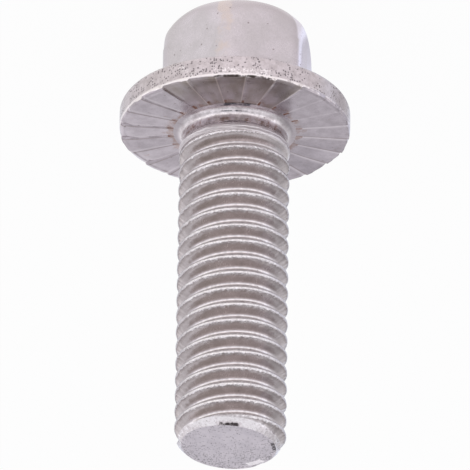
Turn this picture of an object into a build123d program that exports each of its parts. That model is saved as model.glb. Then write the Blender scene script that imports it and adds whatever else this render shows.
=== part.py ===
from build123d import *
from math import cos, radians, sqrt, tan
import os

# A hexagon flange bolt, M8 x 25, whose flange has teeth that grip what it is tightened on.
# The origin is the middle of the bearing face. +Z runs along the shank to its tip.
# The bolt stands on the flat top of its head, at the lowest Z.
# All lengths are in millimetres and all angles in degrees.

# Shank: it is drawn at the crests of its thread
thread_diameter = 8.0
pitch = 1.25
length = 25.0
crest_allowance = 0.08
tip_chamfer = 0.75

# Neck between the flange and the first turn of the thread
neck_length = 1.0
neck_fillet = 0.6
flare_height = 0.45

# Flange
flange_diameter = 16.3
rim_height = 1.9
rim_edge_bevel = 0.2
rim_shoulder_radius = 0.5
flange_slope = 20.0

# Cove where the head meets the flange
cove_reach = 1.0
cove_radius = 2.4

# Teeth of the bearing face
tooth_count = 24
tooth_depth = 0.14
tooth_land = 0.16
bearing_ring_width = 0.35

# Hexagon head
across_flats = 10.0
corner_radius = 1.5
head_height = 8.3
head_top_diameter = 8.8
shoulder_height = 2.5
shoulder_radius = 3.25

# The thread is rolled on a blank of its pitch diameter, which still shows in the neck
crest_radius = thread_diameter / 2 - crest_allowance
neck_radius = thread_diameter / 2 - 3 / 16 * sqrt(3) * pitch

# Sizes that follow from those above
flange_radius = flange_diameter / 2
bearing_ring_radius = neck_radius + neck_fillet + bearing_ring_width
head_top_radius = head_top_diameter / 2
flat_distance = across_flats / 2
corner_distance = (flat_distance - corner_radius) / cos(radians(30)) + corner_radius
overcut = 0.1

# The wedge between two teeth: it starts at a tooth's land, slopes down and ends at the next tooth's steep face
with BuildPart() as tooth_gap:
    for gap_radius in (bearing_ring_radius, flange_radius + overcut):
        gap_width = 2 * gap_radius * tan(radians(180 / tooth_count)) - tooth_land
        with BuildSketch(Plane.YZ.offset(gap_radius)):
            with BuildLine():
                Polyline((0, overcut), (0, -tooth_depth), (-gap_width, 0), (-gap_width, overcut), close=True)
            make_face()
    loft()

with BuildPart() as flange_bolt:
    # Hexagon with rounded corners, from the top of the head to the bearing face
    with BuildSketch(Plane.XY.offset(-head_height)):
        RegularPolygon(radius=flat_distance, side_count=6, major_radius=False, rotation=30)
        fillet(vertices(), corner_radius)
    extrude(amount=head_height)

    # Rounded shoulder between the sides and the flat top
    with BuildSketch(Plane.XZ):
        top_edge = (head_top_radius, -head_height)
        shoulder_foot = (corner_distance, shoulder_height - head_height)
        with BuildLine():
            Line((0, -head_height), top_edge)
            RadiusArc(top_edge, shoulder_foot, -shoulder_radius)
            Polyline(shoulder_foot, (corner_distance, 0), (0, 0), (0, -head_height))
        make_face()
    revolve(axis=Axis.Z, mode=Mode.INTERSECT)

    # Flange: a rim, a sloping top and a cove up to the flats of the head
    with BuildSketch(Plane.XZ):
        rim_shoulder = (flange_radius, rim_shoulder_radius - rim_height)
        slope_foot = (flange_radius - rim_shoulder_radius, -rim_height)
        slope_length = slope_foot[0] - flat_distance - cove_reach
        cove_foot = (flat_distance + cove_reach, -rim_height - slope_length * tan(radians(flange_slope)))
        cove_top = (flat_distance, cove_foot[1] - cove_reach)
        with BuildLine():
            Polyline((0, 0), (flange_radius - rim_edge_bevel, 0), (flange_radius, -rim_edge_bevel), rim_shoulder)
            RadiusArc(rim_shoulder, slope_foot, rim_shoulder_radius)
            Line(slope_foot, cove_foot)
            RadiusArc(cove_foot, cove_top, -cove_radius)
            Polyline(cove_top, (0, cove_top[1]), (0, 0))
        make_face()
    revolve(axis=Axis.Z)

    # Teeth, outside a plain ring round the neck
    with PolarLocations(0, tooth_count):
        add(tooth_gap.part, mode=Mode.SUBTRACT)

    # Shank: a filleted neck, a flare up to the crests of the thread and a chamfered tip
    with BuildSketch(Plane.XZ):
        fillet_foot = (neck_radius + neck_fillet, 0)
        fillet_top = (neck_radius, neck_fillet)
        with BuildLine():
            Line((0, 0), fillet_foot)
            RadiusArc(fillet_foot, fillet_top, neck_fillet)
            Polyline(
                fillet_top,
                (neck_radius, neck_length),
                (crest_radius, neck_length + flare_height),
                (crest_radius, length - tip_chamfer),
                (crest_radius - tip_chamfer, length),
                (0, length),
                (0, 0),
            )
        make_face()
    revolve(axis=Axis.Z)
flange_bolt.part.label = "flange_bolt"

os.makedirs("parts", exist_ok=True)
export_step(flange_bolt.part, "parts/flange_bolt.step")
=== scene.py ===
from math import atan2, cos, degrees, hypot, pi, radians, sin, sqrt, tan

import bmesh
import bpy
from mathutils import Matrix, Vector, noise


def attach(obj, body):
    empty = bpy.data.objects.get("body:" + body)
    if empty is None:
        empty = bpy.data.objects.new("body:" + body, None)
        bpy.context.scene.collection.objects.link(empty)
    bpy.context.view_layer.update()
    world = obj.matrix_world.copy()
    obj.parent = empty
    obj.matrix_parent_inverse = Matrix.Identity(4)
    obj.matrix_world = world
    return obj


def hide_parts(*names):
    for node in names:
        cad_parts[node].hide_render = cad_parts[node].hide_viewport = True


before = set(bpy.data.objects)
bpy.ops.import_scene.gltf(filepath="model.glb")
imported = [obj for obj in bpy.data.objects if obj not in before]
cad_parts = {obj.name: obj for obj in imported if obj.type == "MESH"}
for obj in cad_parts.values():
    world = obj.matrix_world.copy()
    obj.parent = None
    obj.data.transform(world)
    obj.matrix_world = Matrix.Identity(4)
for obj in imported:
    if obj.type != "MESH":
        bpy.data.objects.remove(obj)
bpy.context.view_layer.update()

# A stainless flange bolt, standing on its head. Lengths are in millimetres until the finished piece is scaled.
# Angles are in degrees from +X. A turn is an angle in whole turns, from -0.5 to 0.5.
MM = 0.001

# Shank and its thread. The sheared end leans, and leaves the shank a little short of its nominal 25
CREST_RADIUS = 3.92
ROOT_RADIUS = 3.23
PITCH = 1.25
LENGTH = 24.9
THREAD_PHASE = 0.33
TIP_CHAMFER = 0.60
CHAMFER_LEAN = 0.11
END_TILT = 0.18
LEAN_ANGLE = 170.0
NECK_RADIUS = 3.594
NECK_LENGTH = 1.0
NECK_FILLET = 0.58
FLARE_HEIGHT = 0.45
ROWS_PER_PITCH = 16

# Flange and its teeth. Within a tooth the columns of points crowd at its steep face
FLANGE_RADIUS = 8.15
RIM_HEIGHT = 1.9
RIM_EDGE_RADIUS = 0.30
RIM_SHOULDER_RADIUS = 0.5
FLANGE_SLOPE = 20.0
COVE_REACH = 1.0
COVE_RADIUS = 1.3
TOOTH_COUNT = 24
TOOTH_SPACING = 360 / TOOTH_COUNT
TOOTH_DEPTH = 0.065
TOOTH_DEEPER = 0.9
TOOTH_INNER_RADIUS = 4.40
TOOTH_COLUMNS = (0.0, 0.7, 3.2, 6.0, 8.9, 11.6, 13.5, 14.2)
COLUMNS = TOOTH_COUNT * len(TOOTH_COLUMNS)

# Where the teeth are most worn, and the share of their depth that is gone there
WORN_ANGLE = 170.0
WORN_SHARE = 0.80

# Where the flange's edge was pressed back
SAG_ANGLE = 136.0
SAG_WIDTH = 15.0
SAG_DEPTH = 0.11

# Hexagon head. Softness rounds the edges where the flats run out into the shoulder and the cove
HEAD_HEIGHT = 8.3
FLAT_DISTANCE = 5.0
CORNER_RADIUS = 1.5
HEAD_TOP_RADIUS = 4.33
SHOULDER_HEIGHT = 2.5
SHOULDER_RADIUS = 3.25
SHOULDER_SOFTNESS = 0.35
COVE_SOFTNESS = 0.25
HEAD_SHIFT = (-0.13, 0.022)

# Dents and worn places: angle, radius, height, size and depth
CREST_NICKS = (
    (-105.1, 3.95, 5.62, 0.18, 0.10), (-103.0, 3.95, 10.37, 0.17, 0.10), (-109.7, 3.95, 15.42, 0.18, 0.10),
)
FRONT_NOTCH = (
    (-94.0, 3.56, 24.72, 0.16, 0.10), (-98.5, 3.54, 24.78, 0.22, 0.16), (-103.5, 3.56, 24.76, 0.16, 0.11),
    (-89.5, 3.66, 24.62, 0.12, 0.07), (-109.0, 3.60, 24.70, 0.14, 0.08),
)
END_DENTS = (
    (178.0, 3.42, 24.82, 0.32, 0.16), (169.0, 3.40, 24.86, 0.22, 0.10), (186.0, 3.45, 24.80, 0.18, 0.10),
    (122.0, 3.62, 24.90, 0.85, 0.13), (136.0, 3.62, 24.90, 0.70, 0.10), (-10.0, 3.84, 24.25, 0.6, 0.15),
)
DENTS = CREST_NICKS + FRONT_NOTCH + END_DENTS

# Welding distance, and the angle from which an edge stays sharp
WELD = 0.003
SHARP_ANGLE = 38

# The photograph's camera, found from the bolt's outline in it
CAMERA_AZIMUTH = -99.6
CAMERA_ELEVATION = 27.65
CAMERA_DISTANCE = 840.3
CAMERA_TARGET_HEIGHT = 12.66
CAMERA_ROLL = 0.865
CAMERA_YAW = 0.0126
CAMERA_PITCH = 0.2694
FOCAL_PIXELS = 11994
PICTURE_PIXELS = 470
SENSOR_MM = 36

# Places round the bolt, in turns, and the tooth in the middle of the front
FRONT = -0.277
PAINTED_FRONT_EDGE = -0.288
NECK_LINES = -0.279
CHAMFER_FLECKS = -0.27
NOTCH = -0.2725
HEAD_STREAK = -0.25
SHADED_TEETH = 0.375
END_GLINT = 0.332
END_SCARS = 0.485
SHADED_SKY = 0.334
FRONT_TOOTH = -7.0

# Tints of the floor as the steel reflects it, by turn from 0 to 1
FLOOR_TINTS = (
    (0.029, (0.85, 0.85, 0.86)), (0.22, (0.90, 0.94, 1.06)), (0.277, (0.98, 1.03, 1.17)),
    (0.345, (0.92, 0.95, 1.06)), (0.385, (0.68, 0.67, 0.72)), (0.435, (0.62, 0.61, 0.66)),
    (0.475, (0.98, 1.01, 1.13)), (0.53, (0.92, 0.90, 0.93)), (0.609, (0.96, 0.935, 0.95)),
    (0.723, (1.08, 1.05, 1.06)), (0.943, (0.93, 0.925, 0.905)),
)
FLOOR_SEAM_TINT = (0.88, 0.875, 0.88)

# Brightness of the surroundings by how far up one looks, from the horizon at 0 to overhead at 1
SKY_LEVELS = ((0.28, 1.04), (0.38, 0.96), (0.47, 0.73), (0.72, 0.76), (0.86, 0.92), (0.945, 0.64))
SKY_TINT = (0.985, 0.975, 1.02)
HORIZON_COLOR = (1.16, 1.15, 1.17)
OVERHEAD_COLOR = (0.56, 0.555, 0.57)

# Kinds of socket of the node groups
FLOAT, INTEGER, VECTOR, COLOR, GEOMETRY = (
    "NodeSocket" + kind for kind in ("Float", "Int", "Vector", "Color", "Geometry"))


class Graph:
    """Adds nodes to a tree. An input is given as a number, a colour, or another node's output."""

    def __init__(self, tree):
        self.tree = tree

    def add(self, kind, *values, **settings):
        """A new node. Values go to its inputs in order. Settings are its properties, or inputs by name."""
        node = self.tree.nodes.new(kind)
        named = {key: value for key, value in settings.items() if not hasattr(node, key)}
        for key, value in settings.items():
            if key not in named:
                setattr(node, key, value)
        for socket, value in zip(node.inputs, values):
            self.feed(socket, value)
        self.give(node, **named)
        return node

    def get(self, kind, *values, **settings):
        """The first output of a new node."""
        return self.add(kind, *values, **settings).outputs[0]

    def use(self, group, **inputs):
        """A new node for a shader node group. Returns its outputs."""
        node = self.add("ShaderNodeGroup", node_tree=group)
        self.give(node, **inputs)
        return node.outputs

    def give(self, node, **inputs):
        """Feeds a node's inputs by name, with _ for a space."""
        for key, value in inputs.items():
            self.feed(node.inputs[key.replace("_", " ")], value)

    def feed(self, socket, value):
        if isinstance(value, bpy.types.NodeSocket):
            self.tree.links.new(value, socket)
        elif socket.type == "RGBA":
            socket.default_value = (*value[:3], 1)
        else:
            socket.default_value = value

    def math(self, operation, *values):
        return self.get("ShaderNodeMath", *values, operation=operation)

    def chain(self, operation, values):
        result = values[0]
        for value in values[1:]:
            result = self.math(operation, result, value)
        return result

    def plus(self, *values):
        return self.chain("ADD", values)

    def times(self, *values):
        return self.chain("MULTIPLY", values)

    def highest(self, *values):
        return self.chain("MAXIMUM", values)

    def lowest(self, *values):
        return self.chain("MINIMUM", values)

    def minus(self, first, second):
        return self.math("SUBTRACT", first, second)

    def away(self, value, middle):
        """How far a value is from a middle, on either side of it."""
        return self.math("ABSOLUTE", self.minus(value, middle))

    def ramp(self, value, low, high, to_low=0.0, to_high=1.0, kind="LINEAR"):
        """A value's place between low and high, as a number from to_low to to_high."""
        return self.get("ShaderNodeMapRange", value, low, high, to_low, to_high, interpolation_type=kind)

    def fall(self, value, low, high):
        return self.ramp(value, low, high, 1.0, 0.0)

    def ease(self, value, low, high, to_low=0.0, to_high=1.0):
        """A ramp that starts and ends gently."""
        return self.ramp(value, low, high, to_low, to_high, "SMOOTHSTEP")

    def band(self, value, start, rise_end, fall_start, end):
        """1 between rise_end and fall_start, and 0 before start and after end."""
        return self.times(self.ramp(value, start, rise_end), self.fall(value, fall_start, end))

    def mix(self, factor, first, second, blend="MIX"):
        node = self.add("ShaderNodeMix", data_type="RGBA", blend_type=blend)
        for index, value in ((0, factor), (6, first), (7, second)):
            self.feed(node.inputs[index], value)
        return node.outputs[2]

    def tint(self, factor, color, by):
        """A colour multiplied by another, as far as factor says."""
        return self.mix(factor, color, by, "MULTIPLY")

    def grey(self, level):
        return self.get("ShaderNodeCombineColor", level, level, level)

    def vector_math(self, operation, *values, **settings):
        return self.get("ShaderNodeVectorMath", *values, operation=operation, **settings)

    def vector(self, x, y, z):
        return self.get("ShaderNodeCombineXYZ", x, y, z)

    def parts(self, vector):
        return self.add("ShaderNodeSeparateXYZ", vector).outputs

    def noise(self, place, scale, detail, roughness):
        return self.get("ShaderNodeTexNoise", Vector=place, Scale=scale, Detail=detail, Roughness=roughness)

    def turn_of(self, x, y):
        """The turn about the axis at which a place lies."""
        return self.math("DIVIDE", self.math("ARCTAN2", y, x), 2 * pi)


def new_group(name, kind, inputs, outputs):
    """A node group with named sockets. Returns the tree, a Graph for it, what it is given and its output node."""
    tree = bpy.data.node_groups.new(name, kind)
    for label, socket_type, value in inputs:
        socket = tree.interface.new_socket(label, in_out="INPUT", socket_type=socket_type)
        if value is not None:
            socket.default_value = value
    for label, socket_type in outputs:
        tree.interface.new_socket(label, in_out="OUTPUT", socket_type=socket_type)
    given = tree.nodes.new("NodeGroupInput").outputs
    return tree, Graph(tree), given, tree.nodes.new("NodeGroupOutput")


def make_place_group():
    """Where a point is on the bolt: in millimetres, and as radius, turn about the axis and height."""
    outputs = [("Place", VECTOR), ("Radius", FLOAT), ("Turn", FLOAT), ("Height", FLOAT)]
    tree, g, _, out = new_group("place_on_bolt", "ShaderNodeTree", [], outputs)
    coordinates = g.add("ShaderNodeTexCoord").outputs["Object"]
    place = g.vector_math("SCALE", coordinates, Scale=1 / MM)
    x, y, z = g.parts(place)
    radius = g.add("ShaderNodeVectorMath", g.vector(x, y, 0.0), operation="LENGTH").outputs["Value"]
    g.give(out, Place=place, Radius=radius, Turn=g.turn_of(x, y), Height=z)
    return tree


def make_near_turn_group():
    """A mask round the axis: 1 within Reach of the Middle and 0 from End on. Soft Mask eases in and out."""
    inputs = [("Turn", FLOAT, 0.0), ("Middle", FLOAT, 0.0), ("Reach", FLOAT, 0.05), ("End", FLOAT, 0.1)]
    outputs = [("Mask", FLOAT), ("Soft Mask", FLOAT)]
    tree, g, given, out = new_group("near_turn", "ShaderNodeTree", inputs, outputs)
    off = g.away(given["Turn"], given["Middle"])
    g.give(out, Mask=g.fall(off, given["Reach"], given["End"]),
           Soft_Mask=g.ease(off, given["Reach"], given["End"], 1.0, 0.0))
    return tree


def make_satin_group():
    """Satin steel: cloudy changes of tone, a fine grain in the gloss and a low, uneven surface."""
    inputs = [("Place", VECTOR, None), ("Light Tone", COLOR, (0.66, 0.64, 0.63, 1)),
              ("Dark Tone", COLOR, (0.56, 0.54, 0.53, 1)), ("Cloud Size", FLOAT, 1.0), ("Grain Size", FLOAT, 0.1),
              ("Gloss Low", FLOAT, 0.25), ("Gloss High", FLOAT, 0.4)]
    outputs = [("Color", COLOR), ("Roughness", FLOAT), ("Height", FLOAT)]
    tree, g, given, out = new_group("satin_steel", "ShaderNodeTree", inputs, outputs)
    cloud = g.noise(given["Place"], g.math("DIVIDE", 1.0, given["Cloud Size"]), 4.0, 0.6)
    grain = g.noise(given["Place"], g.math("DIVIDE", 1.0, given["Grain Size"]), 3.0, 0.65)
    tone = g.mix(g.ease(cloud, 0.32, 0.68), given["Dark Tone"], given["Light Tone"])
    color = g.tint(1.0, tone, g.grey(g.ramp(grain, 0.3, 0.7, 0.93, 1.05)))
    gloss = g.plus(g.times(cloud, 0.6), g.times(grain, 0.4))
    g.give(out, Color=color, Roughness=g.ramp(gloss, 0.3, 0.7, given["Gloss Low"], given["Gloss High"]),
           Height=g.plus(g.times(grain, 0.35), cloud))
    return tree


def make_pits_group():
    """Small pits of uneven outline. Mask is 1 in a pit, where Height falls from 1 to 0."""
    inputs = [("Place", VECTOR, None), ("Spacing", FLOAT, 0.3), ("Pit Size", FLOAT, 0.2), ("Amount", FLOAT, 0.5)]
    outputs = [("Mask", FLOAT), ("Height", FLOAT)]
    tree, g, given, out = new_group("pits", "ShaderNodeTree", inputs, outputs)
    wobble = g.add("ShaderNodeTexNoise", Vector=given["Place"], Scale=7.0, Detail=2.0).outputs["Color"]
    shift = g.vector_math("SCALE", wobble, Scale=0.09)
    moved = g.vector_math("ADD", given["Place"], shift)
    scale = g.math("DIVIDE", 1.0, given["Spacing"])
    cells = g.add("ShaderNodeTexVoronoi", Vector=moved, Scale=scale, Randomness=1.0).outputs
    chance = g.get("ShaderNodeSeparateColor", cells["Color"])
    present = g.math("LESS_THAN", chance, given["Amount"])
    core = g.ease(cells["Distance"], given["Pit Size"], g.times(given["Pit Size"], 1.9), 1.0, 0.0)
    mask = g.times(core, present)
    g.give(out, Mask=mask, Height=g.minus(1.0, mask))
    return tree


def make_stain_and_painted_light_group():
    """Lays a patch of colour, such as rust or grease, or painted light or shade such as a highlight, over a colour,
    broken up into uneven patches.
    """
    inputs = [("Place", VECTOR, None), ("Color", COLOR, (0.6, 0.6, 0.6, 1)),
              ("Stain", COLOR, (0.25, 0.13, 0.06, 1)), ("Amount", FLOAT, 0.5), ("Patch Size", FLOAT, 0.4)]
    outputs = [("Color", COLOR), ("Mask", FLOAT)]
    tree, g, given, out = new_group("stain_and_painted_light", "ShaderNodeTree", inputs, outputs)
    patches = g.noise(given["Place"], g.math("DIVIDE", 1.0, given["Patch Size"]), 5.0, 0.7)
    limit = g.minus(1.0, given["Amount"])
    mask = g.ease(patches, g.minus(limit, 0.12), g.plus(limit, 0.12))
    g.give(out, Color=g.mix(mask, given["Color"], given["Stain"]), Mask=mask)
    return tree


PLACE = make_place_group()
NEAR_TURN = make_near_turn_group()
SATIN = make_satin_group()
PITS = make_pits_group()
STAIN_AND_PAINTED_LIGHT = make_stain_and_painted_light_group()


class Steel(Graph):
    """A steel material in the making: its nodes, where a point is on the bolt, and the shader."""

    def __init__(self, name):
        self.material = bpy.data.materials.new(name)
        self.material.use_nodes = True
        super().__init__(self.material.node_tree)
        self.shader = self.tree.nodes["Principled BSDF"]
        self.shader.inputs["Metallic"].default_value = 1.0
        self.place, self.radius, self.turn, self.height = self.use(PLACE)[:4]
        self.turn_size = self.math("ABSOLUTE", self.turn)

    def satin(self, light, dark, cloud, grain, gloss):
        """Satin steel between two tones. Gloss is its lowest and its highest roughness."""
        low, high = gloss
        return self.use(SATIN, Place=self.place, Light_Tone=light, Dark_Tone=dark, Cloud_Size=cloud,
                        Grain_Size=grain, Gloss_Low=low, Gloss_High=high)

    def pits(self, spacing, size, amount):
        return self.use(PITS, Place=self.place, Spacing=spacing, Pit_Size=size, Amount=amount)

    def stain_and_painted_light(self, color, stain_and_painted_light, amount, patch):
        return self.use(STAIN_AND_PAINTED_LIGHT, Place=self.place, Color=color, Stain=stain_and_painted_light, Amount=amount, Patch_Size=patch)["Color"]

    def near_turn(self, middle, reach, end, soft=True):
        masks = self.use(NEAR_TURN, Turn=self.turn, Middle=middle, Reach=reach, End=end)
        return masks["Soft Mask" if soft else "Mask"]

    def finish(self, color, roughness, height, depth):
        """Depth is the height in millimetres of the bump."""
        bump = self.add("ShaderNodeBump", Strength=1.0, Distance=depth * MM, Height=height)
        self.give(self.shader, Base_Color=color, Roughness=roughness, Normal=bump.outputs[0])
        return self.material


def head_steel():
    """The cold-formed head: smooth and satin, with a few dark specks and a tan streak at one corner, and painted
    reflection and a painted shadow on its flats.
    """
    s = Steel("head_steel")
    satin = s.satin((0.70, 0.645, 0.675), (0.62, 0.575, 0.59), cloud=1.9, grain=0.12, gloss=(0.20, 0.30))
    # A darker tone on the faces turned towards the head's end, such as the shoulder
    toned = s.add("ShaderNodeAttribute", attribute_name="rounded").outputs["Fac"]
    color = s.mix(s.times(toned, 0.8), satin["Color"], (0.565, 0.515, 0.53))

    # Painted reflection: the left and the right flat tinted apart, then the far flat beyond the next corner painted
    # brighter, with a painted shadow darkening its edge
    right_flat = s.ease(s.turn, -0.262, -0.238, 1.0, 0.0)
    color = s.tint(1.0, color, s.mix(right_flat, (1.01, 1.02, 1.04), (0.965, 0.96, 0.965)))
    color = s.tint(s.ease(s.turn_size, 0.416, 0.424), color, (1.33, 1.37, 1.43))
    color = s.mix(s.times(s.band(s.turn_size, 0.400, 0.412, 0.416, 0.422), 0.18), color, (0.40, 0.33, 0.34))

    streak = s.times(s.near_turn(HEAD_STREAK, 0.008, 0.038), s.ease(s.height, -7.8, -5.2, 0.60, 0.44))
    color = s.stain_and_painted_light(color, (0.67, 0.585, 0.56), streak, patch=1.1)
    specks = s.pits(0.42, 0.10, s.ramp(s.height, -8.0, -4.5, 0.12, 0.30))
    color = s.mix(s.times(specks["Mask"], 0.75), color, (0.26, 0.21, 0.21))
    return s.finish(color, satin["Roughness"], s.plus(satin["Height"], specks["Height"]), 0.003)


def rim_steel():
    """The rim, where the die left clusters of fine pits and lips, with painted highlights on flecks between the
    pits and along the lower edge, and painted shade on one side.
    """
    s = Steel("rim_steel")
    pit_color = (0.12, 0.10, 0.105)
    satin = s.satin((0.71, 0.64, 0.665), (0.56, 0.50, 0.515), cloud=0.5, grain=0.07, gloss=(0.13, 0.28))
    amount = s.ramp(s.noise(s.place, 0.55, 3.0, 0.6), 0.42, 0.64, 0.05, 0.70)
    fine = s.pits(0.15, 0.24, amount)
    coarse = s.pits(0.42, 0.11, s.times(amount, 0.5))
    pitted = s.highest(fine["Mask"], coarse["Mask"])
    color = s.mix(s.times(pitted, 0.6), satin["Color"], pit_color)

    # Painted highlights: bright flecks between the pits and at the middle of the front, then along the lip at the
    # lower edge
    front_highlight = s.times(s.near_turn(PAINTED_FRONT_EDGE, 0.03, 0.07), s.ease(s.height, -1.05, -0.70), 0.45)
    sparkle = s.highest(s.ramp(amount, 0.2, 0.7, 0.0, 0.42), front_highlight)
    color = s.stain_and_painted_light(color, (1.0, 0.95, 0.965), sparkle, patch=0.16)
    color = s.mix(s.times(pitted, 0.5), color, pit_color)
    lip_highlight = s.times(s.ease(s.height, -0.40, -0.28), s.ramp(s.turn_size, 0.33, 0.42, 0.85, 0.30))
    color = s.mix(lip_highlight, color, (1.0, 0.94, 0.955))
    # Painted shade: the rim darker round half a turn from +X
    color = s.tint(s.ease(s.turn_size, 0.36, 0.43), color, (0.90, 0.90, 0.86))
    height = s.plus(s.times(satin["Height"], 0.5), fine["Height"], coarse["Height"])
    return s.finish(color, satin["Roughness"], height, 0.055)


def neck_rust(s, color):
    """Rust dashes where the grooves between the teeth end, and a brown tinge near them. Returns colour and mask."""
    from_groove = s.away(s.math("FRACT", s.plus(s.times(s.turn, float(TOOTH_COUNT)), 0.5)), 0.42)
    dash = s.times(s.ease(s.radius, 4.20, 4.32), s.ease(s.radius, 4.65, 5.0, 1.0, 0.0),
                   s.ease(from_groove, 0.06, 0.13, 1.0, 0.0))
    amount = s.times(dash, s.ramp(s.turn_size, 0.36, 0.42, 0.74, 0.96))
    rust = s.use(STAIN_AND_PAINTED_LIGHT, Place=s.place, Color=color, Stain=(0.27, 0.13, 0.095), Amount=amount, Patch_Size=1.1)
    near_neck = s.times(s.ramp(s.radius, 4.25, 4.35), s.ramp(s.radius, 4.5, 5.3, 0.50, 0.28))
    return s.stain_and_painted_light(rust["Color"], (0.40, 0.30, 0.275), near_neck, patch=0.8), rust["Mask"]


def darken_front_teeth(s, color, tooth, along, on_front):
    """A darker, browner tone on the front teeth, of its own strength on each and drawn out along it."""
    own = s.add("ShaderNodeTexWhiteNoise", noise_dimensions="1D", W=tooth).outputs["Value"]
    smear = s.noise(s.vector(s.times(s.turn, 60.0), s.times(s.radius, 0.5), 0.0), 1.0, 3.0, 0.6)
    darkening = s.plus(s.ramp(own, 0.0, 1.0, 0.28, 0.44), s.ramp(along, 0.0, 1.0, 0.20, -0.18),
                  s.ramp(smear, 0.35, 0.65, -0.26, 0.26), s.ramp(s.radius, 4.4, 7.6, -0.12, 0.16))
    return s.mix(s.times(darkening, on_front), color, (0.31, 0.262, 0.225))


def tooth_lines(s, color, along, on_front):
    """Painted light and shade on each tooth's steep face: a highlight at the front, shade with a highlighted edge
    on the left, faint shade on the right.
    """
    step = s.fall(along, 0.035, 0.065)
    on_left = s.ramp(s.turn, -0.165, -0.16)
    on_right = s.ramp(s.turn_size, 0.37, 0.38)
    color = s.mix(s.times(step, on_front, 0.55), color, (0.80, 0.73, 0.71))
    color = s.mix(s.times(step, on_left, 0.55), color, (0.26, 0.20, 0.18))
    color = s.mix(s.times(s.band(along, 0.80, 0.93, 0.945, 0.96), on_left, 0.5), color, (0.84, 0.78, 0.80))
    both_sides = s.highest(s.ramp(along, 0.935, 0.95), step)
    return s.mix(s.times(both_sides, on_right, 0.15), color, (0.33, 0.29, 0.31))


def tooth_steel():
    """The pressed teeth: smooth, glossy faces, darker and browner at the front, with painted light and shade on
    their steep faces and edges, and rust only where the grooves end.
    """
    s = Steel("tooth_steel")
    satin = s.satin((0.575, 0.523, 0.556), (0.475, 0.43, 0.455), cloud=0.9, grain=0.09, gloss=(0.15, 0.25))
    counted = s.times(s.turn, float(TOOTH_COUNT))
    tooth, along = s.math("FLOOR", counted), s.math("FRACT", counted)
    on_front = s.math("LESS_THAN", s.away(tooth, FRONT_TOOTH), 2.5)
    color, rust = neck_rust(s, satin["Color"])
    color = darken_front_teeth(s, color, tooth, along, on_front)
    color = tooth_lines(s, color, along, on_front)
    color = s.tint(s.near_turn(SHADED_TEETH, 0.03, 0.09), color, (0.88, 0.88, 0.89))
    pits = s.pits(0.5, 0.07, 0.22)
    color = s.mix(pits["Mask"], color, (0.20, 0.15, 0.14))

    # Painted highlight: the bright lip at the rim's edge. Painted shadow: a dark line at the front along it and in
    # the corner at the neck
    lip_highlight = s.times(s.ease(s.radius, FLANGE_RADIUS - 0.075, FLANGE_RADIUS - 0.04),
                  s.ramp(s.turn_size, 0.33, 0.40, 0.66, 0.46))
    color = s.stain_and_painted_light(color, (0.95, 0.885, 0.885), lip_highlight, patch=0.6)
    edge = s.band(s.radius, FLANGE_RADIUS - 0.14, FLANGE_RADIUS - 0.11, FLANGE_RADIUS - 0.03, FLANGE_RADIUS - 0.015)
    corner = s.ease(s.away(s.radius, 4.36), 0.03, 0.16, 1.1, 0.0)
    painted_shadow = s.times(s.highest(edge, corner), s.near_turn(PAINTED_FRONT_EDGE, 0.03, 0.07), 0.54)
    color = s.stain_and_painted_light(color, (0.07, 0.055, 0.05), painted_shadow, patch=0.34)
    roughness = s.plus(satin["Roughness"], s.times(rust, 0.25), s.times(on_front, 0.10))
    height = s.plus(s.times(satin["Height"], 0.5), pits["Height"])
    return s.finish(color, roughness, height, 0.006)


# Painted highlight: white flecks that stand for glints on torn metal
PAINTED_GLINT = (1.0, 0.97, 0.98)


def thread_places(s):
    """How far, in pitches, a point is from the groove's middle, plain and ragged, and masks of root and crest."""
    pitches = s.minus(s.math("DIVIDE", s.minus(s.height, THREAD_PHASE), PITCH), s.turn)
    side = s.minus(s.math("FRACT", s.plus(pitches, 0.5)), 0.5)
    wander = s.ramp(s.noise(s.place, 5.0, 3.0, 0.7), 0.3, 0.7, -0.035, 0.035)
    from_crest = s.plus(s.math("ABSOLUTE", side), wander)
    root = s.band(side, -0.13, -0.08, 0.02, 0.06)
    crest = s.times(s.ramp(from_crest, 0.37, 0.385), s.fall(side, 0.44, 0.46))
    return side, from_crest, root, s.highest(crest, s.ramp(side, 0.46, 0.48))


def flare_marks(s, color):
    """The flare at the thread's start, brightened with a painted highlight and scored round by the die. Returns
    colour, mask and scores.
    """
    on_flare = s.band(s.height, 1.0, 1.25, 1.75, 2.0)
    scored = s.noise(s.vector_math("MULTIPLY", s.place, (0.5, 0.5, 8.0)), 1.0, 3.0, 0.6)
    # Painted highlight: the flare made brighter
    color = s.mix(s.times(on_flare, 0.6), color, (1.0, 0.96, 0.97))
    dark = s.times(s.ease(scored, 0.48, 0.60, 0.0, 0.35), on_flare)
    return s.mix(dark, color, (0.42, 0.38, 0.39)), on_flare, scored


def end_marks(s, color, tip, from_end):
    """The dark notch in the shank's end, and painted highlights as white flecks on the chamfer, more of them at the
    front.
    """
    in_notch = s.times(s.near_turn(NOTCH, 0.026, 0.045, soft=False), s.fall(from_end, 0.15, 0.26))
    color = s.stain_and_painted_light(color, (0.06, 0.05, 0.05), s.times(in_notch, 0.57), patch=0.26)
    amount = s.ramp(s.near_turn(CHAMFER_FLECKS, 0.05, 0.14, soft=False), 0.0, 1.0, 0.42, 0.60)
    return s.stain_and_painted_light(color, PAINTED_GLINT, s.times(s.minus(tip, in_notch), amount), patch=0.2)


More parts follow.
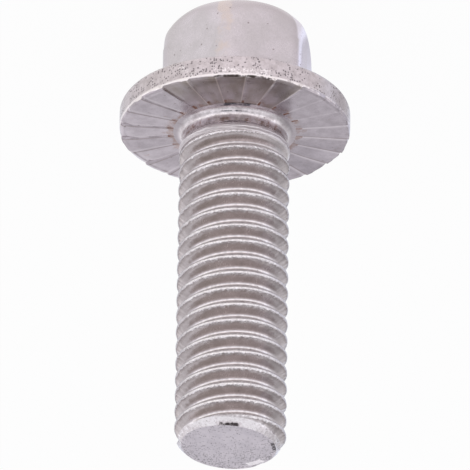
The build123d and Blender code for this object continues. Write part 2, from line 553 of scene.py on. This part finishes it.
def neck_marks(s, color):
    """The neck: rust and painted shadows on its side, a dull ring at its foot and painted shade as dark lines in
    the front corner.
    """
    rust = s.times(s.ramp(s.height, 0.55, 0.72, 0.0, 0.47), s.fall(s.height, 0.95, 1.15))
    color = s.stain_and_painted_light(color, (0.34, 0.24, 0.205), rust, patch=0.75)
    color = s.mix(s.ramp(s.height, 0.015, 0.06, 0.85, 0.0), color, (0.52, 0.47, 0.495))
    around = s.noise(s.vector(s.times(s.turn, 16.0), s.times(s.height, 1.4), 0.0), 1.0, 4.0, 0.65)
    shadow = s.times(s.ease(around, 0.46, 0.66, 0.0, 0.60), s.fall(s.height, 0.9, 1.1))
    color = s.mix(shadow, color, (0.40, 0.345, 0.355))
    # Painted shade: dark lines at the front, low in the corner and higher on the fillet
    low_line = s.ease(s.height, 0.01, 0.04, 0.55, 0.0)
    high_line = s.ease(s.away(s.height, 0.25), 0.03, 0.08, 0.52, 0.0)
    lines = s.times(s.highest(low_line, high_line), s.near_turn(NECK_LINES, 0.03, 0.066))
    return s.stain_and_painted_light(color, (0.08, 0.08, 0.10), lines, patch=0.36)


def thread_steel():
    """The rolled thread and its neck: bright crests and roots, painted duller at the sides, pinkish-grey flanks,
    and painted shade as dark lines at the crests.
    """
    s = Steel("thread_steel")
    flank = s.satin((0.628, 0.576, 0.573), (0.532, 0.485, 0.478), cloud=0.9, grain=0.07, gloss=(0.18, 0.30))
    bright = s.satin((0.94, 0.885, 0.90), (0.71, 0.66, 0.67), cloud=0.28, grain=0.06, gloss=(0.08, 0.22))
    side, from_crest, root, crest = thread_places(s)
    neck = s.ease(s.height, NECK_LENGTH + 0.75, NECK_LENGTH + 1.0, 1.0, 0.0)
    lean = s.math("COSINE", s.minus(s.times(s.turn, 2 * pi), radians(LEAN_ANGLE)))
    from_end = s.minus(s.plus(s.times(lean, END_TILT), LENGTH), s.height)
    tip = s.fall(from_end, 0.44, 0.58)
    on_thread = s.minus(1.0, s.highest(neck, tip))

    # Bright metal, painted duller away from the front, and painted shade as a dark line on either side of each
    # crest
    aside = s.minus(1.0, s.near_turn(FRONT, 0.12, 0.215))
    toned = s.mix(s.times(aside, 0.9), bright["Color"], (0.60, 0.56, 0.57))
    shine = s.highest(root, crest, neck, tip)
    color = s.mix(shine, flank["Color"], toned)
    gloss = s.times(shine, s.minus(bright["Roughness"], flank["Roughness"]))
    below_crest = s.times(s.fall(from_crest, 0.385, 0.395), s.fall(side, -0.35, -0.28))
    head_flank = s.band(side, 0.05, 0.08, 0.45, 0.475)
    color = s.mix(s.times(s.highest(below_crest, head_flank), on_thread, 0.30), color, (0.20, 0.155, 0.14))

    color, on_flare, scored = flare_marks(s, color)
    color = neck_marks(s, color)
    color = end_marks(s, color, tip, from_end)
    # Painted highlights: white flecks along the burred edges of the crests, more of them at the front
    burred = s.times(s.ramp(from_crest, 0.34, 0.36), s.fall(side, -0.3, -0.25), on_thread)
    color = s.stain_and_painted_light(color, PAINTED_GLINT, s.times(burred, s.ramp(aside, 0.0, 1.0, 0.50, 0.28)), patch=0.15)
    pits = s.pits(0.36, 0.08, 0.12)
    color = s.mix(s.times(pits["Mask"], 0.7), color, (0.17, 0.13, 0.12))

    # The surface is torn on the crests and the chamfer, and scored on the flare
    tearing = s.plus(s.ramp(s.times(crest, on_thread), 0.0, 1.0, 0.3, 10.0), s.times(tip, 4.0))
    torn = s.times(s.noise(s.place, 5.5, 3.0, 0.7), tearing)
    scores = s.times(scored, on_flare, 12.0)
    height = s.plus(s.times(flank["Height"], 0.5), pits["Height"], torn, scores)
    return s.finish(color, s.plus(flank["Roughness"], gloss, s.times(on_flare, 0.22)), height, 0.010)


def tip_steel():
    """The sheared end of the shank: dull, finely speckled, more so towards the side where the shear broke out."""
    s = Steel("tip_steel")
    satin = s.satin((0.71, 0.665, 0.705), (0.61, 0.57, 0.61), cloud=0.9, grain=0.08, gloss=(0.26, 0.42))
    across = s.parts(s.place)[1]
    amount = s.plus(s.ramp(across, -1.2, 2.4, 0.16, 0.85), s.ease(s.radius, 2.3, 3.2, 0.0, 0.45))
    pits = s.pits(0.135, 0.26, amount)
    color = s.mix(s.times(pits["Mask"], 0.72), satin["Color"], (0.20, 0.185, 0.195))

    # A painted highlight at the edge, and dark scars to the left and right of it
    glint = s.times(s.ramp(s.away(s.radius, 2.8), 0.18, 0.5, 0.67, 0.0),
                    s.near_turn(END_GLINT, 0.03, 0.07, soft=False))
    color = s.stain_and_painted_light(color, (1.0, 0.96, 0.98), glint, patch=0.3)
    scars = s.times(s.ease(s.radius, 2.75, 3.0), s.fall(s.away(s.turn_size, END_SCARS), 0.01, 0.05), 0.57)
    color = s.stain_and_painted_light(color, (0.07, 0.06, 0.065), scars, patch=0.16)
    height = s.plus(s.times(satin["Height"], 0.8), pits["Height"])
    return s.finish(color, satin["Roughness"], height, 0.03)


FINISHES = {"head_steel": head_steel(), "rim_steel": rim_steel(), "tooth_steel": tooth_steel(),
            "thread_steel": thread_steel(), "tip_steel": tip_steel()}


def linked(name, data):
    """A new object, in the scene."""
    made = bpy.data.objects.new(name, data)
    bpy.context.collection.objects.link(made)
    return made


def mesh_from(bm, name):
    """A new mesh with the points and faces of bm, which is then freed."""
    mesh = bpy.data.meshes.new(name)
    bm.to_mesh(mesh)
    bm.free()
    return mesh


def column_angle(column, evenness):
    """A column's angle in radians. Columns crowd at the steep faces of teeth, or are even where evenness is 1."""
    tooth, place = divmod(column, len(TOOTH_COLUMNS))
    at_tooth = tooth * TOOTH_SPACING + TOOTH_COLUMNS[place]
    even = column * 360 / COLUMNS
    return radians(at_tooth + (even - at_tooth) * evenness)


def held(value):
    """A value held between 0 and 1."""
    return max(0.0, min(1.0, value))


def soft_min(a, b, softness):
    """The lower of two sizes, with the corner between them rounded over about softness."""
    h = max(softness - abs(a - b), 0.0) / softness
    return min(a, b) - h * h * softness / 4


def hexagon_radius(angle):
    """The head's radius at an angle: flats, and corners of CORNER_RADIUS halfway between them."""
    off_flat = (angle + pi / 6) % (pi / 3) - pi / 6
    corner = pi / 6 - abs(off_flat)
    centre = (FLAT_DISTANCE - CORNER_RADIUS) / cos(pi / 6)
    arc_end = atan2((FLAT_DISTANCE - CORNER_RADIUS) * tan(pi / 6), FLAT_DISTANCE)
    if abs(off_flat) <= arc_end:
        return FLAT_DISTANCE / cos(off_flat)
    return centre * cos(corner) + sqrt(CORNER_RADIUS ** 2 - (centre * sin(corner)) ** 2)


def arc_points(start, end, radius, steps):
    """Points from start to end on an arc of the given radius, bulging to the left where radius is above 0."""
    (x0, y0), (x1, y1) = start, end
    half = hypot(x1 - x0, y1 - y0) / 2
    rise = sqrt(radius ** 2 - half ** 2) * (1 if radius > 0 else -1)
    nx, ny = (y1 - y0) / (2 * half), -(x1 - x0) / (2 * half)
    cx, cy = (x0 + x1) / 2 + nx * rise, (y0 + y1) / 2 + ny * rise
    a0 = atan2(y0 - cy, x0 - cx)
    sweep = (atan2(y1 - cy, x1 - cx) - a0 + pi) % (2 * pi) - pi
    return [(cx + abs(radius) * cos(a0 + sweep * k / steps), cy + abs(radius) * sin(a0 + sweep * k / steps))
            for k in range(steps + 1)]


def ring(evenness, shape):
    """One ring of points round the axis. shape gives the radius and height at an angle."""
    points = []
    for column in range(COLUMNS):
        angle = column_angle(column, evenness)
        radius, height = shape(angle)
        points.append((radius * cos(angle), radius * sin(angle), height))
    return points


def skin(bm, rings, material):
    """Joins rings of points into a skin. A ring of one point is a pole."""
    rows = [[bm.verts.new(point) for point in points] for points in rings]
    for low, high in zip(rows, rows[1:]):
        for k in range(max(len(low), len(high))):
            corners = [low[k % len(low)], low[(k + 1) % len(low)], high[(k + 1) % len(high)], high[k % len(high)]]
            face = bm.faces.new(list(dict.fromkeys(corners)))
            face.material_index = list(FINISHES).index(material)


def head_rings():
    """The head from the middle of its flat top to the foot of its cove."""
    rings = [[(0, 0, -HEAD_HEIGHT)]]
    for share in (0.25, 0.5, 0.75, 0.93):
        rings.append(ring(1, lambda angle: (share * HEAD_TOP_RADIUS, -HEAD_HEIGHT)))
    shoulder_foot = (hexagon_radius(pi / 6), SHOULDER_HEIGHT - HEAD_HEIGHT)
    for radius, height in arc_points((HEAD_TOP_RADIUS, -HEAD_HEIGHT), shoulder_foot, -SHOULDER_RADIUS, 22):
        rings.append(ring(1, lambda angle: (soft_min(radius, hexagon_radius(angle), SHOULDER_SOFTNESS), height)))
    cove = cove_points()
    for step in range(1, 15):
        height = shoulder_foot[1] + (cove[0][1] - shoulder_foot[1]) * step / 15
        rings.append(ring(1, lambda angle: (hexagon_radius(angle), height)))
    for radius, height in cove:
        rings.append(ring(1, lambda angle: (-soft_min(-radius, -hexagon_radius(angle), COVE_SOFTNESS), height)))
    return rings


def cove_points():
    """The cove's section, from the flats down to the flange's slope."""
    foot_radius = FLAT_DISTANCE + COVE_REACH
    slope_length = FLANGE_RADIUS - RIM_SHOULDER_RADIUS - foot_radius
    foot_height = -RIM_HEIGHT - slope_length * tan(radians(FLANGE_SLOPE))
    return arc_points((FLAT_DISTANCE, foot_height - COVE_REACH), (foot_radius, foot_height), COVE_RADIUS, 9)


def flange_rings():
    """The flange's slope, its rounded shoulder and its rim, down to where the teeth begin."""
    foot = cove_points()[-1]
    slope_foot = (FLANGE_RADIUS - RIM_SHOULDER_RADIUS, -RIM_HEIGHT)
    section = [(foot[0] + (slope_foot[0] - foot[0]) * k / 6, foot[1] + (slope_foot[1] - foot[1]) * k / 6)
               for k in range(6)]
    section += arc_points(slope_foot, (FLANGE_RADIUS, RIM_SHOULDER_RADIUS - RIM_HEIGHT), -RIM_SHOULDER_RADIUS, 7)
    low = section[-1][1]
    section += [(FLANGE_RADIUS, low + (-RIM_EDGE_RADIUS - low) * k / 5) for k in range(1, 6)]
    return [ring(held(1 - k / 12), lambda angle: (radius, height)) for k, (radius, height) in enumerate(section)]


def tooth_fall(offset):
    """How far a tooth has fallen below its land at an offset, in degrees, from its steep face."""
    land = TOOTH_COLUMNS[1]
    return TOOTH_DEPTH * held((offset - land) / (TOOTH_COLUMNS[-1] - land)) if offset < TOOTH_SPACING else 0.0


def tooth_mesh():
    """One tooth, from the rim's rounded edge in to the plain ring round the neck."""
    edge_foot, inner = FLANGE_RADIUS - RIM_EDGE_RADIUS, TOOTH_INNER_RADIUS
    section = [(edge_foot + RIM_EDGE_RADIUS * cos(radians(a)), RIM_EDGE_RADIUS * (sin(radians(a)) - 1))
               for a in (0, 15, 30, 45, 60, 75, 90)]
    section += [(edge_foot - 0.07, -0.012), (edge_foot - 0.16, -0.028), (edge_foot - 0.3, -0.01)]
    section += [(radius, 0.0) for radius in (7.2, 6.8, 6.4, 6.0, 5.6, 5.2, 4.9)]
    section += [(inner + 0.12, 0.0), (inner + 0.03, 0.0), (inner - 0.06, 0.0)]
    offsets = [*TOOTH_COLUMNS, TOOTH_SPACING]
    bm = bmesh.new()
    rows = []
    for k, (radius, height) in enumerate(section):
        # The teeth start on the rounded edge, are deepest near it and run out at the neck
        depth = held(k * 0.22) * held((radius - inner + 0.06) / 0.18)
        depth *= 1 + TOOTH_DEEPER * held((radius - 6.9) / 0.9)
        rows.append([bm.verts.new((radius * cos(radians(offset)), radius * sin(radians(offset)),
                                   height - tooth_fall(offset) * depth)) for offset in offsets])
    for low, high in zip(rows, rows[1:]):
        for k in range(len(offsets) - 1):
            bm.faces.new((low[k], low[k + 1], high[k + 1], high[k]))
    return mesh_from(bm, "tooth")


def neck_rings():
    """The plain ring round the neck, the fillet and the neck, up to where the thread begins."""
    foot = NECK_RADIUS + NECK_FILLET
    section = [(TOOTH_INNER_RADIUS - 0.06, 0.0), ((TOOTH_INNER_RADIUS + foot) / 2, 0.0)]
    section += [(foot - NECK_FILLET * sin(radians(a)), NECK_FILLET * (1 - cos(radians(a))))
                for a in range(0, 91, 9)]
    section += [(NECK_RADIUS, NECK_FILLET + (NECK_LENGTH - NECK_FILLET) * k / 4) for k in (1, 2, 3, 4)]
    return [ring(held(k / 12), lambda angle: (radius, height)) for k, (radius, height) in enumerate(section)]


def baked(mesh, tree, values, name):
    """The mesh that a Geometry Nodes tree makes from another, with its named inputs set."""
    carrier = linked(name, mesh)
    modifier = carrier.modifiers.new(name, "NODES")
    modifier.node_group = tree
    for item in tree.interface.items_tree:
        if item.in_out == "INPUT" and item.name in values:
            modifier[item.identifier] = values[item.name]
    bpy.context.view_layer.update()
    evaluated = carrier.evaluated_get(bpy.context.evaluated_depsgraph_get())
    result = bpy.data.meshes.new_from_object(evaluated)
    carrier.modifiers.clear()
    bpy.data.objects.remove(carrier)
    return result


def make_round_axis_tree(material):
    """Repeats a mesh at even turns about the axis, and joins the copies where they meet."""
    inputs = [("Geometry", GEOMETRY, None), ("Count", INTEGER, 24)]
    tree, g, given, out = new_group("round_axis", "GeometryNodeTree", inputs, [("Geometry", GEOMETRY)])
    stack = g.get("GeometryNodeMeshLine", Count=given["Count"], Offset=(0, 0, 0))
    points = g.get("GeometryNodeMeshToPoints", stack)
    index = g.get("GeometryNodeInputIndex")
    angle = g.times(g.math("DIVIDE", index, given["Count"]), 2 * pi)
    copies = g.get("GeometryNodeInstanceOnPoints", points, Instance=given["Geometry"],
                   Rotation=g.vector(0.0, 0.0, angle))
    whole = g.get("GeometryNodeRealizeInstances", copies)
    joined = g.get("GeometryNodeMergeByDistance", whole, Distance=0.001)
    g.give(out, Geometry=g.get("GeometryNodeSetMaterial", joined, Material=material))
    return tree


def make_thread_tree(material):
    """A rolled thread: a sheet is wound round the axis and its rows follow the helix, trimmed flat at both ends."""
    inputs = [("Geometry", GEOMETRY, None)]
    inputs += [(label, FLOAT, None) for label in (
        "Pitch", "Phase", "Start", "Length", "Crest Radius", "Root Radius", "Neck Radius", "Flare", "Chamfer",
        "Run Out", "Crest Half Width", "Root Half Width", "Root Slope", "Seam Depth", "Raggedness", "Crowding",
        "Chamfer Lean", "End Tilt", "Lean Angle")]
    inputs += [(label, INTEGER, None) for label in ("Columns", "Rows Per Pitch", "Turns")]
    tree, g, size, out = new_group("rolled_thread", "GeometryNodeTree", inputs, [("Geometry", GEOMETRY)])
    rows = g.times(size["Turns"], size["Rows Per Pitch"])
    sheet = g.get("GeometryNodeMeshGrid", 1.0, 1.0, g.plus(size["Columns"], 1.0), g.plus(rows, 1.0))
    at = g.parts(g.get("GeometryNodeInputPosition"))
    turn, row = g.plus(at[0], 0.5), g.plus(at[1], 0.5)

    # Height: the rows rise with the turn, crowd at crests and roots, and stop at the neck and at the leaning end
    pitches = g.minus(g.times(row, size["Turns"]), 2.0)
    crowd = g.times(g.math("SINE", g.times(pitches, 4 * pi)), size["Crowding"])
    helix = g.plus(g.times(g.minus(g.plus(pitches, turn), crowd), size["Pitch"]), size["Phase"])
    angle = g.times(turn, 2 * pi)
    lean = g.math("COSINE", g.minus(angle, size["Lean Angle"]))
    end = g.plus(size["Length"], g.times(lean, size["End Tilt"]))
    height = g.lowest(g.highest(helix, size["Start"]), end)
    to_tip = g.minus(end, height)

    # How far a point is from the middle of the groove, in pitches
    across = g.minus(g.math("DIVIDE", g.minus(height, size["Phase"]), size["Pitch"]), turn)
    side = g.minus(g.math("FRACT", g.plus(across, 0.5)), 0.5)
    off = g.math("ABSOLUTE", side)
    faces_head = g.math("GREATER_THAN", side, 0.0)

    # Ragged crests: their edges on the tip's side wander a little along the thread
    around = g.vector(g.math("COSINE", angle), g.math("SINE", angle), height)
    spread = g.vector_math("MULTIPLY", around, (CREST_RADIUS, CREST_RADIUS, 1.0))
    ragged = g.noise(spread, 3.2, 4.0, 0.65)
    wander = g.times(g.minus(ragged, 0.5), size["Raggedness"], g.minus(1.0, faces_head))

    # Depth of the groove, from its rounded root up the flanks to the crest, which is rounder towards the head
    crest_edge = g.minus(g.minus(0.5, size["Crest Half Width"]), wander)
    flank = g.get("ShaderNodeMapRange", off, size["Root Half Width"], crest_edge, 0.0, 1.0, clamp=False)
    rounding = g.ramp(faces_head, 0.0, 1.0, 0.14, 0.4)
    rise = g.math("SMOOTH_MAX", g.math("SMOOTH_MIN", flank, 1.0, rounding), 0.0, 0.2)
    flare_end, run_end = g.plus(size["Start"], size["Flare"]), g.plus(size["Start"], size["Run Out"])
    run_out = g.times(g.ease(height, flare_end, run_end), g.ease(to_tip, 0.20, 0.48))
    low_edge = g.times(size["Root Half Width"], -1.0)
    slope = g.times(g.ramp(side, low_edge, size["Root Half Width"]), size["Root Slope"])
    full_depth = g.plus(g.minus(size["Crest Radius"], size["Root Radius"]), slope)
    depth = g.times(full_depth, g.minus(1.0, rise), run_out)

    # A shallow seam along the middle of the crest, where the metal of the two flanks met, and wear beside it
    seam = g.times(g.ease(off, 0.44, 0.5), size["Seam Depth"], ragged, run_out)
    worn = g.highest(g.times(g.minus(ragged, 0.35), rise, 0.05), 0.0)
    thread = g.minus(size["Crest Radius"], g.plus(depth, seam, worn))

    # The flare from the neck, and the chamfer at the tip
    flare_step = g.math("DIVIDE", g.minus(size["Crest Radius"], size["Neck Radius"]), size["Flare"])
    flare = g.plus(size["Neck Radius"], g.times(g.minus(height, size["Start"]), flare_step))
    chamfered = g.minus(size["Crest Radius"], size["Chamfer"])
    end_radius = g.minus(chamfered, g.times(lean, size["Chamfer Lean"]))
    radius = g.lowest(thread, flare, g.plus(end_radius, to_tip))

    place = g.vector(g.times(radius, g.math("COSINE", angle)), g.times(radius, g.math("SINE", angle)), height)
    wound = g.get("GeometryNodeSetPosition", sheet, Position=place)
    joined = g.get("GeometryNodeMergeByDistance", wound, Distance=0.002)
    whole = g.get("GeometryNodeRealizeInstances", joined)
    g.give(out, Geometry=g.get("GeometryNodeSetMaterial", whole, Material=material))
    return tree


def thread_mesh():
    """The thread of this bolt, with a few turns to spare that are trimmed at the neck and the tip."""
    values = {
        "Pitch": PITCH, "Phase": THREAD_PHASE, "Start": NECK_LENGTH, "Length": LENGTH, "Crest Radius": CREST_RADIUS,
        "Root Radius": ROOT_RADIUS, "Neck Radius": NECK_RADIUS, "Flare": FLARE_HEIGHT, "Chamfer": TIP_CHAMFER,
        "Run Out": 1.7, "Crest Half Width": 0.095, "Root Half Width": 0.075, "Root Slope": 0.05,
        "Seam Depth": 0.012, "Raggedness": 0.30, "Crowding": 0.045, "Chamfer Lean": CHAMFER_LEAN,
        "End Tilt": END_TILT, "Lean Angle": radians(LEAN_ANGLE), "Columns": COLUMNS,
        "Rows Per Pitch": ROWS_PER_PITCH, "Turns": int(LENGTH / PITCH) + 4,
    }
    empty = bpy.data.meshes.new("thread")
    return baked(empty, make_thread_tree(FINISHES["thread_steel"]), values, "thread")


def take_in(bm, mesh, material):
    """Adds a mesh to the bolt, all in one finish."""
    before = len(bm.faces)
    bm.from_mesh(mesh)
    bm.faces.ensure_lookup_table()
    for face in bm.faces[before:]:
        face.material_index = list(FINISHES).index(material)


def close_tip(bm):
    """Closes the shank with its end face, in rings that shrink to the middle."""
    edge = [e for e in bm.edges if e.is_boundary and all(v.co.z > LENGTH - 0.5 for v in e.verts)]
    tip = list(FINISHES).index("tip_steel")
    previous = 1.0
    for share in (0.97, 0.85, 0.7, 0.52, 0.34, 0.17):
        made = bmesh.ops.extrude_edge_only(bm, edges=edge)["geom"]
        points = [g for g in made if isinstance(g, bmesh.types.BMVert)]
        bmesh.ops.scale(bm, verts=points, vec=(share / previous,) * 3, space=Matrix.Translation((0, 0, -LENGTH)))
        for face in (g for g in made if isinstance(g, bmesh.types.BMFace)):
            face.material_index = tip
        edge = [g for g in made if isinstance(g, bmesh.types.BMEdge) and g.is_boundary]
        previous = share
    middle = bm.verts.new((0, 0, LENGTH))
    for e in edge:
        face = bm.faces.new((e.verts[0], e.verts[1], middle))
        face.material_index = tip


def wear_tooth(p, radius):
    """Gives each tooth a depth of its own. They are nearly worn away round WORN_ANGLE."""
    if TOOTH_INNER_RADIUS < radius and -TOOTH_DEPTH * 2.51 < p.z < 0:
        # The small addition keeps a point on a tooth's first column in that tooth
        tooth = int(atan2(p.y, p.x) / (2 * pi) % 1 * TOOTH_COUNT + 0.003)
        worn = WORN_SHARE * max(0.0, cos(radians((tooth + 0.5) * TOOTH_SPACING - WORN_ANGLE)))
        p.z *= max(0.08, 0.75 + 1.4 * noise.noise(Vector((tooth * 1.37, 4.2, 0.6))) - worn)


def press_back(p, radius):
    """Presses the flange's edge back towards the head round SAG_ANGLE."""
    off = abs((degrees(atan2(p.y, p.x)) - SAG_ANGLE + 180) % 360 - 180) / SAG_WIDTH
    if off < 1 and radius > 6.0 and -RIM_HEIGHT < p.z < 0.05:
        p.z -= SAG_DEPTH * (1 - off ** 2) ** 2 * min(1.0, (radius - 6.0) / 1.8) * (1 + p.z / RIM_HEIGHT)


def rough_out(bm):
    """Wear, and the slight unevenness of a forged skin, most on the rim's edge, where metal squeezed out."""
    for vertex in bm.verts:
        p = vertex.co
        swell = noise.noise(p * 0.55) * 0.6 + noise.noise(p * 1.7) * 0.25
        share = 0.014 if p.z < 0.0 else 0.004
        radius = hypot(p.x, p.y)
        wear_tooth(p, radius)
        press_back(p, radius)
        burr = max(0.0, 1 - abs(radius - FLANGE_RADIUS + 0.16) / 0.2) * max(0.0, 1 - abs(p.z + 0.1) / 0.35)
        ragged = noise.noise(p * 3.1) + noise.noise(p * 7.3) * 0.6
        if -HEAD_HEIGHT + 0.01 < p.z < LENGTH - 0.4:
            vertex.co = p + vertex.normal * ((swell - 0.4) * share + (ragged - 0.3) * burr * 0.035)


def dent(bm):
    """Presses the dents in. Each is deepest in its middle."""
    for turn, radius, height, size, depth in DENTS:
        outward = Vector((cos(radians(turn)), sin(radians(turn)), 0))
        middle = outward * radius + Vector((0, 0, height))
        inward = Vector((0, 0, -1)) if height >= LENGTH else -outward
        for vertex in bm.verts:
            away = (vertex.co - middle).length / size
            if away < 1:
                vertex.co += inward * depth * (1 - away * away) ** 2


def shift_head(bm):
    """Moves the head a little off the flange's middle, as the die left it."""
    for vertex in bm.verts:
        vertex.co += Vector((*HEAD_SHIFT, 0)) * held((-vertex.co.z - RIM_HEIGHT) / 1.3)


def make_bolt():
    """The whole bolt as one closed skin, from the head's top to the shank's end."""
    bm = bmesh.new()
    skin(bm, head_rings(), "head_steel")
    skin(bm, flange_rings(), "rim_steel")
    teeth = baked(tooth_mesh(), make_round_axis_tree(FINISHES["tooth_steel"]), {"Count": TOOTH_COUNT}, "teeth")
    take_in(bm, teeth, "tooth_steel")
    skin(bm, neck_rings(), "thread_steel")
    take_in(bm, thread_mesh(), "thread_steel")
    bmesh.ops.remove_doubles(bm, verts=bm.verts, dist=WELD)
    close_tip(bm)
    bmesh.ops.recalc_face_normals(bm, faces=bm.faces)
    bm.normal_update()
    rough_out(bm)
    dent(bm)
    shift_head(bm)
    mesh = mesh_from(bm, "bolt")
    for finish in FINISHES.values():
        mesh.materials.append(finish)

    # How far a point faces the head's end, for the darker tone of the shoulder
    rounded = mesh.attributes.new("rounded", "FLOAT", "POINT")
    rounded.data.foreach_set("value", [held(-v.normal.z * 3 - 0.2) for v in mesh.vertices])
    mesh.transform(Matrix.Scale(MM, 4))
    mesh.shade_smooth()
    mesh.set_sharp_from_angle(angle=radians(SHARP_ANGLE))
    return linked("bolt", mesh)


def color_stops(ramp, first, last, between):
    """Sets the colours of a colour ramp at its ends and between them."""
    stops = ramp.color_ramp.elements
    stops[0].position, stops[0].color = 0.0, (*first, 1)
    stops[1].position, stops[1].color = 1.0, (*last, 1)
    for position, color in between:
        stops.new(position).color = (*color, 1)


def make_floor():
    """A pale floor under the head: white to the camera, tinted as the steel reflects it, with a faint shadow."""
    bm = bmesh.new()
    bmesh.ops.create_circle(bm, cap_ends=True, radius=6.0, segments=96)
    mesh = mesh_from(bm, "floor")
    mesh.transform(Matrix.Translation((0, 0, -HEAD_HEIGHT * MM)))
    floor = linked("floor", mesh)
    material = bpy.data.materials.new("pale_floor")
    material.use_nodes = True
    material.node_tree.nodes.clear()
    g = Graph(material.node_tree)
    diffuse = g.get("ShaderNodeBsdfDiffuse", (0.85, 0.85, 0.85))
    white = g.get("ShaderNodeEmission", (1, 1, 1), 1.0)
    x, y, _ = g.parts(g.add("ShaderNodeTexCoord").outputs["Object"])
    tints = g.add("ShaderNodeValToRGB", g.math("FRACT", g.plus(g.turn_of(x, y), 1.0)))
    tints.color_ramp.interpolation = "EASE"
    color_stops(tints, FLOOR_SEAM_TINT, FLOOR_SEAM_TINT, FLOOR_TINTS)
    in_steel = g.get("ShaderNodeEmission", tints.outputs[0], 1.0)
    path = g.add("ShaderNodeLightPath").outputs
    for_steel = g.get("ShaderNodeMixShader", g.times(path["Is Glossy Ray"], 0.92), diffuse, in_steel)
    shader = g.get("ShaderNodeMixShader", g.times(path["Is Camera Ray"], 0.95), for_steel, white)
    g.add("ShaderNodeOutputMaterial", shader)
    mesh.materials.append(material)


def make_world():
    """Soft light from all round: bright near the horizon, greyer overhead and on one side. White to the camera."""
    world = bpy.data.worlds.new("studio")
    bpy.context.scene.world = world
    world.use_nodes = True
    world.node_tree.nodes.clear()
    g = Graph(world.node_tree)
    x, y, up = g.parts(g.add("ShaderNodeTexCoord").outputs["Generated"])
    sky = g.add("ShaderNodeValToRGB", up)
    levels = [(position, [level * part for part in SKY_TINT]) for position, level in SKY_LEVELS]
    color_stops(sky, HORIZON_COLOR, OVERHEAD_COLOR, levels)
    shade = g.ease(g.away(g.turn_of(x, y), SHADED_SKY), 0.05, 0.13, 0.70, 1.0)
    shaded = g.tint(1.0, sky.outputs[0], g.grey(shade))
    to_camera = g.add("ShaderNodeLightPath").outputs["Is Camera Ray"]
    background = g.get("ShaderNodeBackground", g.mix(to_camera, shaded, (1, 1, 1)), 1.0)
    g.add("ShaderNodeOutputWorld", background)


def turned(first, second, angle):
    """Two directions at right angles, turned by an angle from the first towards the second."""
    return cos(angle) * first + sin(angle) * second, cos(angle) * second - sin(angle) * first


def make_camera():
    """The photograph's camera. It looks down on the tip of the shank, and is held upside down."""
    azimuth, elevation = radians(CAMERA_AZIMUTH), radians(CAMERA_ELEVATION)
    outward = Vector((cos(azimuth) * cos(elevation), sin(azimuth) * cos(elevation), sin(elevation)))
    target = Vector((0, 0, CAMERA_TARGET_HEIGHT)) * MM
    forward = -outward
    right = -Vector((-sin(azimuth), cos(azimuth), 0))
    up = right.cross(forward)
    right, up = turned(right, up, radians(CAMERA_ROLL))
    forward, right = turned(forward, right, radians(CAMERA_YAW))
    forward, up = turned(forward, up, radians(CAMERA_PITCH))
    data = bpy.data.cameras.new("camera")
    data.sensor_width = SENSOR_MM
    data.lens = FOCAL_PIXELS / PICTURE_PIXELS * SENSOR_MM
    data.clip_start, data.clip_end = 0.01, 50.0
    camera = linked("camera", data)
    facing = Matrix((right, up, -forward)).transposed().to_4x4()
    camera.matrix_world = Matrix.Translation(target + outward * CAMERA_DISTANCE * MM) @ facing
    bpy.context.scene.camera = camera


bolt = make_bolt()
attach(bolt, "root")
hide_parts("flange_bolt")
make_floor()
make_world()
make_camera()
bpy.context.scene.view_settings.view_transform = "Standard"
